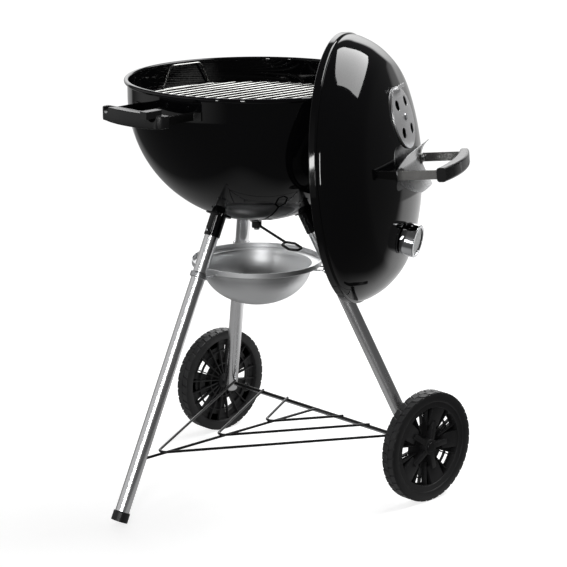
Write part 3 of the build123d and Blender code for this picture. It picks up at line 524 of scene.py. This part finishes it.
# %% Plated and rolled metals
def cloudy_metal(name, base, rough_low, rough_high, cloud_mm, depth_mm=0.01):
    """Plain metal whose roughness drifts in soft patches."""
    material, tree, surface = new_material(name, Base_Color=linear(base), Metallic=1.0, Roughness=rough_low)
    cloud = add_node(tree, "ShaderNodeTexNoise", {
        "Vector": object_place(tree), "Scale": 1 / (cloud_mm * MM), "Detail": 3.0})
    tree.links.new(spread(tree, cloud.outputs["Fac"], rough_low, rough_high), surface.inputs["Roughness"])
    bump(tree, surface, cloud.outputs["Fac"], 0.2, depth_mm)
    return material


zinc = cloudy_metal("zinc_plated_steel", "#c9cacc", 0.16, 0.34, 5)
grate_wire = cloudy_metal("plated_grate_wire", "#8f8f8d", 0.12, 0.24, 7)
coal_wire = cloudy_metal("plain_steel_wire", "#9d9b98", 0.28, 0.45, 6)
chrome = cloudy_metal("chrome_plate", "#e2e3e5", 0.03, 0.07, 12, 0.003)
sweep_steel = cloudy_metal("aluminised_steel", "#a8a9aa", 0.30, 0.45, 10)


# %% [markdown]
# Glass-filled nylon and polypropylene come out of the mould with a fine sparked grain that makes them
# satin instead of shiny. The grain is about half a millimetre.


# %% Moulded plastics
def moulded(name, dark, light, rough_low, rough_high, grain_mm=0.6, depth_mm=0.03):
    """Plastic with a mould grain and a faint drift in colour."""
    material, tree, surface = new_material(name, Base_Color=linear(dark), Roughness=rough_low, IOR=1.5)
    grain = add_node(tree, "ShaderNodeTexNoise", {
        "Vector": object_place(tree), "Scale": 1 / (grain_mm * MM), "Detail": 2.0})
    drift = add_node(tree, "ShaderNodeTexNoise", {"Vector": object_place(tree), "Scale": 1 / (35 * MM), "Detail": 2.0})
    tree.links.new(ramp(tree, drift.outputs["Fac"], (0.3, dark), (0.7, light)), surface.inputs["Base Color"])
    tree.links.new(spread(tree, grain.outputs["Fac"], rough_low, rough_high), surface.inputs["Roughness"])
    bump(tree, surface, grain.outputs["Fac"], 0.35, depth_mm)
    return material


nylon = moulded("glass_filled_nylon", "#151516", "#1a1a1b", 0.30, 0.42)
polypropylene = moulded("moulded_polypropylene", "#242425", "#2a2a2b", 0.38, 0.54)
# The lid's grip is the same nylon as the side grips; its darker colour is painted shade, and it is a little glossier.
nylon_shaded_darker = moulded("glossy_nylon_shaded_darker", "#0b0b0c", "#0f0f10", 0.20, 0.30, 0.6, 0.015)
black_coat = moulded("black_electrocoat", "#0c0c0c", "#121212", 0.22, 0.36, 1.2, 0.02)
dial_paint = moulded("matt_dial_paint", "#101010", "#141414", 0.5, 0.6, 0.8, 0.01)
needle_paint = moulded("red_needle_paint", "#a3231a", "#ad2a1f", 0.35, 0.45, 0.8, 0.005)

# %% [markdown]
# The gauge's window is clear glass with faint smears, which a soft drift in roughness gives.

# %% Glass
lens_glass, tree, surface = new_material("gauge_glass", Base_Color=linear("#f4f8f8"), Roughness=0.02,
                                         IOR=1.5, Transmission_Weight=1.0)
smear = add_node(tree, "ShaderNodeTexNoise", {"Vector": object_place(tree), "Scale": 1 / (10 * MM), "Detail": 2.0})
tree.links.new(spread(tree, smear.outputs["Fac"], 0.01, 0.05), surface.inputs["Roughness"])
print(len(bpy.data.materials), "finishes")

# %% [markdown]
# ## The bowl
# The bowl is one deep pressing with its rim rolled into a bead. It is the largest mirror here after
# the lid, so it is turned again with fine steps instead of using the engineering part's facets.

# %% Bowl shell and bead
SHELL = 1.6
RIM_Z, BEAD_R, BEAD_WIRE = 754.0, 230.3, 4.2
BOWL_R, BAND_Z, BOWL_DEPTH = 228.5, 726.0, 224.0


def half_bowl(radius, depth, centre_z, steps=44):
    """Quarter ellipse from the wall down to the axis, as a spun point that is then stretched."""
    bm = bmesh.new()
    chain = arc(bm, (radius, 0), (0, 0), 90, steps)
    bm.free()
    return [(max(p.x, 0.0), centre_z - abs(p.z) * depth / radius) for p in chain]


outer = [(BOWL_R, RIM_Z - 2.0), (BOWL_R, RIM_Z - 12.0)] + half_bowl(BOWL_R, BOWL_DEPTH, BAND_Z)
inner = half_bowl(BOWL_R - SHELL, BOWL_DEPTH - SHELL, BAND_Z)[::-1]
inner += [(BOWL_R - SHELL, RIM_Z - 12.0), (BOWL_R - SHELL, RIM_Z - 2.0)]
bowl_bm = turn_round(outline_to_bmesh(outer + inner, close=True), 160)
join(bowl_bm, turn_round(outline_to_bmesh(circle_points(BEAD_R, RIM_Z, BEAD_WIRE), close=True), 160))
bowl = finish_piece(bowl_bm, "bowl_shell", "bowl", enamel, matrix=at_bowl)

# %% [markdown]
# Three long vents and the sweep's shaft hole are cut with closed shapes, as a punch would.


# %% Vents
def slot_cutter(angle, near, far, width, low, high):
    """Closed rounded bar that lies along a heading, for punching a vent."""
    bm = bmesh.new()
    bmesh.ops.create_cube(bm, size=1.0)
    bmesh.ops.scale(bm, vec=(far - near, width, high - low), verts=bm.verts)
    upright = [e for e in bm.edges if abs(e.verts[0].co.z - e.verts[1].co.z) > 1]
    bmesh.ops.bevel(bm, geom=upright, offset=8, segments=5, affect="EDGES", profile=0.5, material=-1)
    bmesh.ops.translate(bm, vec=((near + far) / 2, 0, (low + high) / 2), verts=bm.verts)
    bmesh.ops.rotate(bm, cent=(0, 0, 0), matrix=Matrix.Rotation(radians(angle), 3, "Z"), verts=bm.verts)
    return in_place(bm, at_bowl, "slot")


BOWL_FLOOR = BAND_Z - BOWL_DEPTH
vents = [slot_cutter(a, 34, 84, 24, BOWL_FLOOR - 5, BOWL_FLOOR + 35) for a in (-30, 90, 210)]
cut(bowl, *vents, rod(5.1, BOWL_FLOOR - 5, BOWL_FLOOR + 10, at_bowl))
smooth_by_angle(bowl.data, 32)
print("bowl:", len(bowl.data.polygons), "faces")

# %% [markdown]
# ## The lid
# The lid hangs on the rim, almost upright. Its section has an upright lip, a soft shoulder and a
# crown that is part of a large sphere.

# %% Lid frame and section
LID_AZIMUTH, LID_TILT, LID_RADIAL, LID_Z = 29.6, 5.3, 170.9, 602.9
LID_SHEET, LIP_R, LIP_DEPTH, LID_HEIGHT = 1.5, 239.5, 13.0, 118.5
CROWN_R, CROWN_EDGE = 495.0, 178.0
SHOULDER = ((235.5, 14.5, 0.0), (228.0, 36.0, 27.0), (209.0, 62.5, 45.0))

lid_out = heading(LID_AZIMUTH) * cos(radians(LID_TILT)) + UP * sin(radians(LID_TILT))
lid_origin = BOWL_AXIS + heading(LID_AZIMUTH) * LID_RADIAL * MM + UP * LID_Z * MM
at_lid = placed(lid_origin, heading(LID_AZIMUTH + 90), lid_out)


def lid_section(inset):
    """The lid's section from the lip to the axis, a distance inside its outer face."""
    crown_turn = degrees(asin(CROWN_EDGE / CROWN_R))
    radius = CROWN_R - inset
    stations = [(r - inset * cos(radians(t)), d - inset * sin(radians(t)), 90 + t) for r, d, t in SHOULDER]
    stations.append((radius * sin(radians(crown_turn)),
                     LID_HEIGHT - CROWN_R + radius * cos(radians(crown_turn)), 180 - crown_turn))
    bm = bmesh.new()
    crown = arc(bm, stations[-1][:2], (0, LID_HEIGHT - CROWN_R), -crown_turn, 24)
    bm.free()
    lip = LIP_R - inset
    start = [(lip, 1.6), (lip, 6.0), (lip, LIP_DEPTH - 2.2 - inset)]
    turn_in = curved([(lip, LIP_DEPTH - 2.0 - inset, 90), (stations[0][0] + 2.0, stations[0][1] - 0.6, 150)], 4)
    return start + turn_in + curved(stations, 10) + [(max(p.x, 0.0), p.z) for p in crown[1:]]


lid_bm = turn_round(outline_to_bmesh(lid_section(0) + lid_section(LID_SHEET)[::-1], close=True), 176)
join(lid_bm, turn_round(outline_to_bmesh(circle_points(LIP_R - 1.9, 2, 2, 12), close=True), 176))
lid = finish_piece(lid_bm, "lid_shell", "lid", enamel, matrix=at_lid)


# %% [markdown]
# The lid's fittings stand on its crown, so one function gives a place and a direction there. The holes
# behind the damper are a little smaller than the damper's own, and closed rods cut them.

# %% Holes under the damper, thermometer and handle
def on_crown(u, v):
    """Matrix standing on the lid's crown at (u, v), with its Z straight out of the sheet."""
    centre = Vector((0, 0, LID_HEIGHT - CROWN_R))
    out = Vector((u, v, sqrt(CROWN_R ** 2 - u ** 2 - v ** 2)))
    origin = at_lid @ ((centre + out) * MM)
    return placed(origin, at_lid.to_3x3() @ Vector((1, 0, 0)), at_lid.to_3x3() @ out)


at_damper = on_crown(-10.0, 89.0)
at_gauge = on_crown(-39.0, -120.0)
at_screws = [on_crown(-74.0, 0), on_crown(74.0, 0)]
HOLE_AT, HOLE_R = 24.6, 9.5
cutters = [rod(HOLE_R - 0.5, -8, 8, at_damper @ Matrix.Translation(Vector((x, y, 0)) * MM))
           for x in (-HOLE_AT, HOLE_AT) for y in (-HOLE_AT, HOLE_AT)]
cutters += [rod(2.75, -8, 8, at_damper, 20), rod(5, -8, 8, at_gauge, 24)]
cutters += [rod(2.7, -8, 8, m, 20) for m in at_screws]
cut(lid, *cutters)
smooth_by_angle(lid.data, 32)
print("lid:", len(lid.data.polygons), "faces")

# %% [markdown]
# ## The ash pan
# The pan is spun from thin aluminium: a bowl, a flat flange and a short upright rim.

# %% Ash pan
PAN_RIM_R, PAN_RIM_Z, PAN_FLANGE_Z = 118.0, 427.0, 417.4
PAN_R, PAN_DEPTH, PAN_SHEET = 99.5, 73.4, 1.2


def pan_side(inset):
    """Pan section from the rim to the axis; inset is 0 for the underside and the sheet for the top."""
    z = PAN_FLANGE_Z + inset
    rim = PAN_RIM_R - inset
    start = [(rim, PAN_RIM_Z), (rim, PAN_RIM_Z - 3), (rim, z + 1.2 - inset / 2)]
    corner = curved([(rim, z + 1.0, 270), (rim - 1.0, z, 180)], 3)
    edge = PAN_R - inset
    shoulder = [(edge + 6, z), (edge + 1.5, z)]
    return start + corner + shoulder + half_bowl(edge, PAN_DEPTH, z - 0.2, 36)[1:]


pan_bm = turn_round(outline_to_bmesh(pan_side(0) + pan_side(PAN_SHEET)[::-1], close=True), 128)
ash_pan = finish_piece(pan_bm, "ash_pan_spun", "ash_pan", pan_aluminium, sharp=50, matrix=at_bowl)
rounding = ash_pan.modifiers.new("rolled_rim", "BEVEL")
rounding.width = 0.35 * MM
rounding.segments = 2
rounding.limit_method = "ANGLE"
rounding.angle_limit = radians(50)
print("ash pan:", len(ash_pan.data.polygons), "faces")

# %% [markdown]
# ## Wheels
# Each wheel is one moulding: a tread with two rows of slanted blocks, a flat sidewall, a stepped
# ring, five broad spokes that slope in to the hub, a narrow star over them, and thin stiffening ribs.

# %% Wheel helpers
WHEEL_R, WHEEL_INNER_X = 101.7, 266.0
AXLE_Y, AXLE_Z = 157.3, 101.7
TREAD_STEPS = 38


def add_turned(bm, points, steps=96):
    """Add a closed turned ring to a bmesh."""
    join(bm, turn_round(outline_to_bmesh(points, close=True), steps))


def add_bar(bm, angle, near, far, half_near, half_far, low_near, top_near, low_far, top_far, soft=0.8):
    """Add a tapered bar along a heading: a cube whose corners are moved, with its edges rounded."""
    bar = bmesh.new()
    bmesh.ops.create_cube(bar, size=1.0)
    for v in bar.verts:
        outer_end = v.co.x > 0
        half = half_far if outer_end else half_near
        low, top = (low_far, top_far) if outer_end else (low_near, top_near)
        v.co = Vector((far if outer_end else near, half if v.co.y > 0 else -half, top if v.co.z > 0 else low))
    if soft:
        bmesh.ops.bevel(bar, geom=bar.edges[:], offset=soft, segments=2, affect="EDGES", profile=0.5, material=-1)
    bmesh.ops.recalc_face_normals(bar, faces=bar.faces)
    bmesh.ops.rotate(bar, cent=(0, 0, 0), matrix=Matrix.Rotation(radians(angle), 3, "Z"), verts=bar.verts)
    join(bm, bar)


def add_tread_block(bm, angle, low, high, lean):
    """One slanted tread block on the tyre, between two slots."""
    block = bmesh.new()
    bmesh.ops.create_cube(block, size=1.0)
    pitch = 2 * pi * WHEEL_R / TREAD_STEPS
    for v in block.verts:
        slide = lean * (1.9 if v.co.z > 0 else -1.9)
        half = pitch / 2 - 1.5
        v.co = Vector((WHEEL_R - 0.5 if v.co.x > 0 else 99.3,
                       (half if v.co.y > 0 else -half) + slide, high if v.co.z > 0 else low))
    bmesh.ops.bevel(block, geom=block.edges[:], offset=0.45, segments=1, affect="EDGES", profile=0.5, material=-1)
    bmesh.ops.recalc_face_normals(block, faces=block.faces)
    bmesh.ops.rotate(block, cent=(0, 0, 0), matrix=Matrix.Rotation(radians(angle), 3, "Z"), verts=block.verts)
    join(bm, block)


# %% [markdown]
# Rings, bars and tread blocks then go into one bmesh. The web behind the spokes is drawn as two rings
# and five plates instead of a full disc, which leaves the five windows open without any cutting.

# %% One wheel
SPOKES, RIBS = 5, 20
WEB_BACK, WEB_FACE = 9, 11.5


def make_wheel(side_name, side):
    """Build a wheel round its own axis, inner face at zero, and stand it on the axle."""
    bm = bmesh.new()
    add_turned(bm, [(73, 9), (73, 24.0), (74, 25.0), (83.2, 25.6), (84.6, 27.2), (86, 27.9), (97.4, 27.9),
                    (99.4, 27.2), (100.1, 25.8), (100.1, 2.2), (99.4, 0.8), (97.4, 0.1), (86, 0.1),
                    (84.4, 0.9), (83.6, 2.6), (82.4, 9)])
    add_turned(bm, [(99.6, 12.9), (99.6, 15.1), (101.5, 14.9), (101.5, 13.1)])
    for step in range(TREAD_STEPS):
        for row, (low, high, lean) in enumerate(((0.9, 13.0, 1), (15.0, 27.1, -1))):
            angle = 360 / TREAD_STEPS * (step + 0.5 * row)
            add_tread_block(bm, angle, low, high, lean)
    add_turned(bm, [(14, WEB_BACK), (14, WEB_FACE), (43, WEB_FACE), (43, WEB_BACK)], 80)
    add_turned(bm, [(70, WEB_BACK), (70, WEB_FACE), (74, WEB_FACE), (74, WEB_BACK)], 80)
    add_turned(bm, [(4.2, 0.3), (4.2, 20.8), (9.9, 20.8), (9.9, 26), (13.4, 26.2), (14.4, 25.4), (14.8, 24),
                    (14.8, 0.3)], 48)
    add_turned(bm, [(33, 3.4), (33, 10), (34.8, 10), (34.8, 3.4)], 72)
    add_turned(bm, [(60, 4.6), (60, 10), (61.6, 10), (61.6, 4.6)], 80)
    for spoke in range(SPOKES):
        angle = 360 / SPOKES * spoke
        add_bar(bm, angle, 41.5, 71, 19, 31, 9.1, 11.4, 9.1, 11.4, 0)
        add_bar(bm, angle, 38, 84, 13.2, 17.4, 9, 18.6, 9, 25.2)
        add_bar(bm, angle, 11.2, 46, 4.6, 5.2, 9, 25.4, 9, 22.4)
        for turn in (-1, 1):
            add_bar(bm, angle + 36 + turn * 13, 30, 74, 0.8, 0.8, 9, 17, 9, 22, 0.3)
    for rib in range(RIBS):
        add_bar(bm, 360 / RIBS * (rib + 0.5), 14, 84, 1.1, 1.1, 2.2, 11, 4.0, 11, 0.4)
    origin = BOWL_AXIS + Vector((side * WHEEL_INNER_X, AXLE_Y, AXLE_Z)) * MM
    at_wheel = placed(origin, Vector((0, side, 0)), Vector((side, 0, 0)))
    return finish_piece(bm, "wheel_moulding_" + side_name, "wheel_" + side_name, polypropylene,
                        sharp=35, matrix=at_wheel)


for side_name, side in (("left", -1), ("right", 1)):
    wheel = make_wheel(side_name, side)
    print(wheel.name, len(wheel.data.polygons), "faces")

# %% [markdown]
# ## Parts whose shape is already right
# The rest keeps its engineering shape. A copy with merged corners shades smoothly, and a small bevel
# gives every edge the thin bright line that real edges have.

# %% Legs, sockets and feet
FOOT_X = 248
leg_ends = {"front": (0, -330.5, 5.4), "left": (-FOOT_X, AXLE_Y, AXLE_Z), "right": (FOOT_X, AXLE_Y, AXLE_Z)}
socket_headings = {"front": -90, "left": 150, "right": 30}
SOCKET_R, SOCKET_Z = 108.4, 484.7
for name, end in leg_ends.items():
    top = heading(socket_headings[name]) * SOCKET_R + UP * SOCKET_Z
    tube_finish = drawn_metal("polished_tube_" + name, Vector(end) - top, "#f6f6f7", 0.24, 0.32)
    polished_copy("leg_" + name, tube_finish, 0.3)
    polished_copy("leg_socket_" + name, enamel, 0.5)
    polished_copy("leg_button_" + name, zinc, 0.2)
    polished_copy("button_spring_" + name, coal_wire, 0)
    polished_copy("pan_clip_" + name, zinc, 0)
polished_copy("leg_plug_left", nylon, 0.5)
polished_copy("leg_plug_right", nylon, 0.5)
polished_copy("foot_cap", nylon, 0.8)
polished_copy("axle", zinc, 0.3)
polished_copy("hub_cap_left", nylon, 0.5)
polished_copy("hub_cap_right", nylon, 0.5)
print("legs, sockets, axle and feet finished")

# %% [markdown]
# Welded wire needs no bevel, because its round sides have no edges. The cooking grate is plated, the
# charcoal grate is bare steel, and the rack and the sweep's lever are coated black.

# %% Wires, grates and the sweep
polished_copy("wire_rack", black_coat, 0)
polished_copy("cooking_grate", grate_wire, 0)
polished_copy("grate_handle_left", grate_wire, 0)
polished_copy("grate_handle_right", grate_wire, 0)
polished_copy("charcoal_grate", coal_wire, 0)
polished_copy("cooking_grate_brackets", enamel, 0.3)
polished_copy("charcoal_grate_brackets", enamel, 0.3)
polished_copy("sweep_lever", black_coat, 0)
polished_copy("sweep_blades", sweep_steel, 0.2)
polished_copy("sweep_shaft", sweep_steel, 0.2)
polished_copy("sweep_nut", zinc, 0.3)
print("rack, grates and sweep finished")

# %% [markdown]
# The strap of the lid's handle is brushed along its length, so its lines need the lid's own directions.
# The heat shield is rolled aluminium sheet, and the damper is pressed from a disc of it.

# %% Lid fittings
strap_across = at_lid.to_3x3() @ Vector((1, 0, 0))
strap_out = at_lid.to_3x3() @ Vector((0, 0, 1))
strap_steel = drawn_metal("brushed_stainless_strap", strap_out, "#a3a2a0", 0.20, 0.34)
sheet_aluminium = drawn_metal("rolled_aluminium_sheet", strap_across, "#a9aaab", 0.24, 0.38)
damper_aluminium = spun_metal("pressed_aluminium_damper", at_damper, "#eeeeef", 0.46, 1.5, 0.01)
polished_copy("lid_handle_bracket", strap_steel, 0.4)
polished_copy("lid_hanger", strap_steel, 0.4)
polished_copy("lid_heat_shield", sheet_aluminium, 0.25)
# The lid's grip takes the nylon copy whose colour is painted darker as shade.
polished_copy("lid_handle_grip", nylon_shaded_darker, 1.4, segments=3)
polished_copy("lid_handle_screws", zinc, 0.5)
polished_copy("lid_handle_nuts", zinc, 0.3)
polished_copy("lid_damper", damper_aluminium, 0.25)
polished_copy("lid_damper_rivet", zinc, 0.3)
print("lid fittings finished")

# %% [markdown]
# The thermometer is a chromed cup with a pressed bezel, a painted dial, a needle and a glass window.

# %% Thermometer
polished_copy("thermometer_case", chrome, 0.3)
polished_copy("thermometer_bezel", chrome, 0.35)
polished_copy("thermometer_dial", dial_paint, 0.1)
polished_copy("thermometer_lens", lens_glass, 0.3)
polished_copy("thermometer_stem", zinc, 0.3)
polished_copy("thermometer_nut", zinc, 0.4)
polished_copy("thermometer_needle", needle_paint, 0)
print("thermometer finished")

# %% [markdown]
# Each side handle is a black steel strap with two screws that hold its grip from behind.

# %% Side handles of the bowl
for name in ("front", "back"):
    polished_copy("bowl_handle_bracket_" + name, black_coat, 0.4)
    polished_copy("bowl_handle_screws_" + name, zinc, 0.4)

# %% [markdown]
# ## Grips of the side handles
# The grip is a long bowed block, cut square where the strap runs through its back. Its outline is drawn
# as seen from above, pulled up, and all of its edges are rounded in one bevel.

# %% Bowed grips
GRIP_HALF, GRIP_BACK, GRIP_END, GRIP_BOW, GRIP_TALL, GRIP_Z = 76.0, 284.0, 300.0, 14.0, 26.0, 724.0
GRIP_AZIMUTHS = {"front": -87.0, "back": 100.0}
REST_X, REST_R, REST_FROM, SCREW_X = 57.0, 7.5, 290, 36.0


def bowed_block():
    """The grip before it is cut: its outline pulled up, its corners and then its rims rounded."""
    radius = (GRIP_HALF ** 2 + GRIP_BOW ** 2) / (2 * GRIP_BOW)
    middle = GRIP_END + GRIP_BOW - radius
    half_turn = degrees(asin(GRIP_HALF / radius))
    scrap = bmesh.new()
    bow = arc(scrap, (-GRIP_HALF, GRIP_END), (0, middle), 2 * half_turn, 18)
    scrap.free()
    outline = [(p.x, p.z) for p in bow] + [(GRIP_HALF, GRIP_BACK), (-GRIP_HALF, GRIP_BACK)]
    bm = bmesh.new()
    base = bm.faces.new([bm.verts.new((x, y, -GRIP_TALL / 2)) for x, y in outline])
    pulled = bmesh.ops.extrude_face_region(bm, geom=[base])["geom"]
    raised = [g for g in pulled if isinstance(g, bmesh.types.BMVert)]
    bmesh.ops.translate(bm, vec=(0, 0, GRIP_TALL), verts=raised)
    bmesh.ops.recalc_face_normals(bm, faces=bm.faces)
    corners = [e for e in bm.edges if abs(e.verts[0].co.z - e.verts[1].co.z) > 1
               and abs(e.verts[0].co.x) > GRIP_HALF - 0.1 and e.verts[0].co.y > GRIP_BACK + 1]
    bmesh.ops.bevel(bm, geom=corners, offset=9, segments=6, affect="EDGES", profile=0.5, material=-1)
    rims = [e for e in bm.edges if abs(abs(e.verts[0].co.z) - GRIP_TALL / 2) < 0.01
            and abs(e.verts[0].co.z - e.verts[1].co.z) < 0.01]
    bmesh.ops.bevel(bm, geom=rims, offset=2.6, segments=4, affect="EDGES", profile=0.5, material=-1)
    for v in bm.verts:
        v.co.z *= 1 - 0.16 * (abs(v.co.x) / GRIP_HALF) ** 4
    return bm


for name, azimuth in GRIP_AZIMUTHS.items():
    at_grip = placed(BOWL_AXIS + UP * GRIP_Z * MM, -heading(azimuth + 90), UP)
    grip = finish_piece(bowed_block(), "bowl_grip_" + name, "bowl_handle_grip_" + name, nylon, matrix=at_grip)
    outward = at_grip @ Matrix.Rotation(radians(-90), 4, "X")
    cutters = [box_shape((-68.7, 270, -7.15), (68.7, 287.35, 7.15), at_grip)]
    for x in (-REST_X, REST_X):
        cutters.append(rod(REST_R, REST_FROM, REST_FROM + 35,
                           outward @ Matrix.Translation(Vector((x, -REST_R, 0)) * MM), 32))
        cutters.append(box_shape((x - REST_R, REST_FROM, REST_R), (x + REST_R, REST_FROM + 35, 20), at_grip))
    for x in (-SCREW_X, SCREW_X):
        cutters.append(rod(2.44, 280, 298.5, outward @ Matrix.Translation(Vector((x, 0, 0)) * MM), 20))
    cut(grip, *cutters)
    smooth_by_angle(grip.data, 32)
    softened = grip.modifiers.new("rounded_edges", "BEVEL")
    softened.width = 0.8 * MM
    softened.segments = 3
    softened.limit_method = "ANGLE"
    softened.angle_limit = radians(40)
    print(grip.name, len(grip.data.polygons), "faces")

# %% Sizes
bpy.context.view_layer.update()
triangles = sum(len(p.vertices) - 2 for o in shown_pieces() for p in o.data.polygons)
print("triangles before modifiers:", triangles)
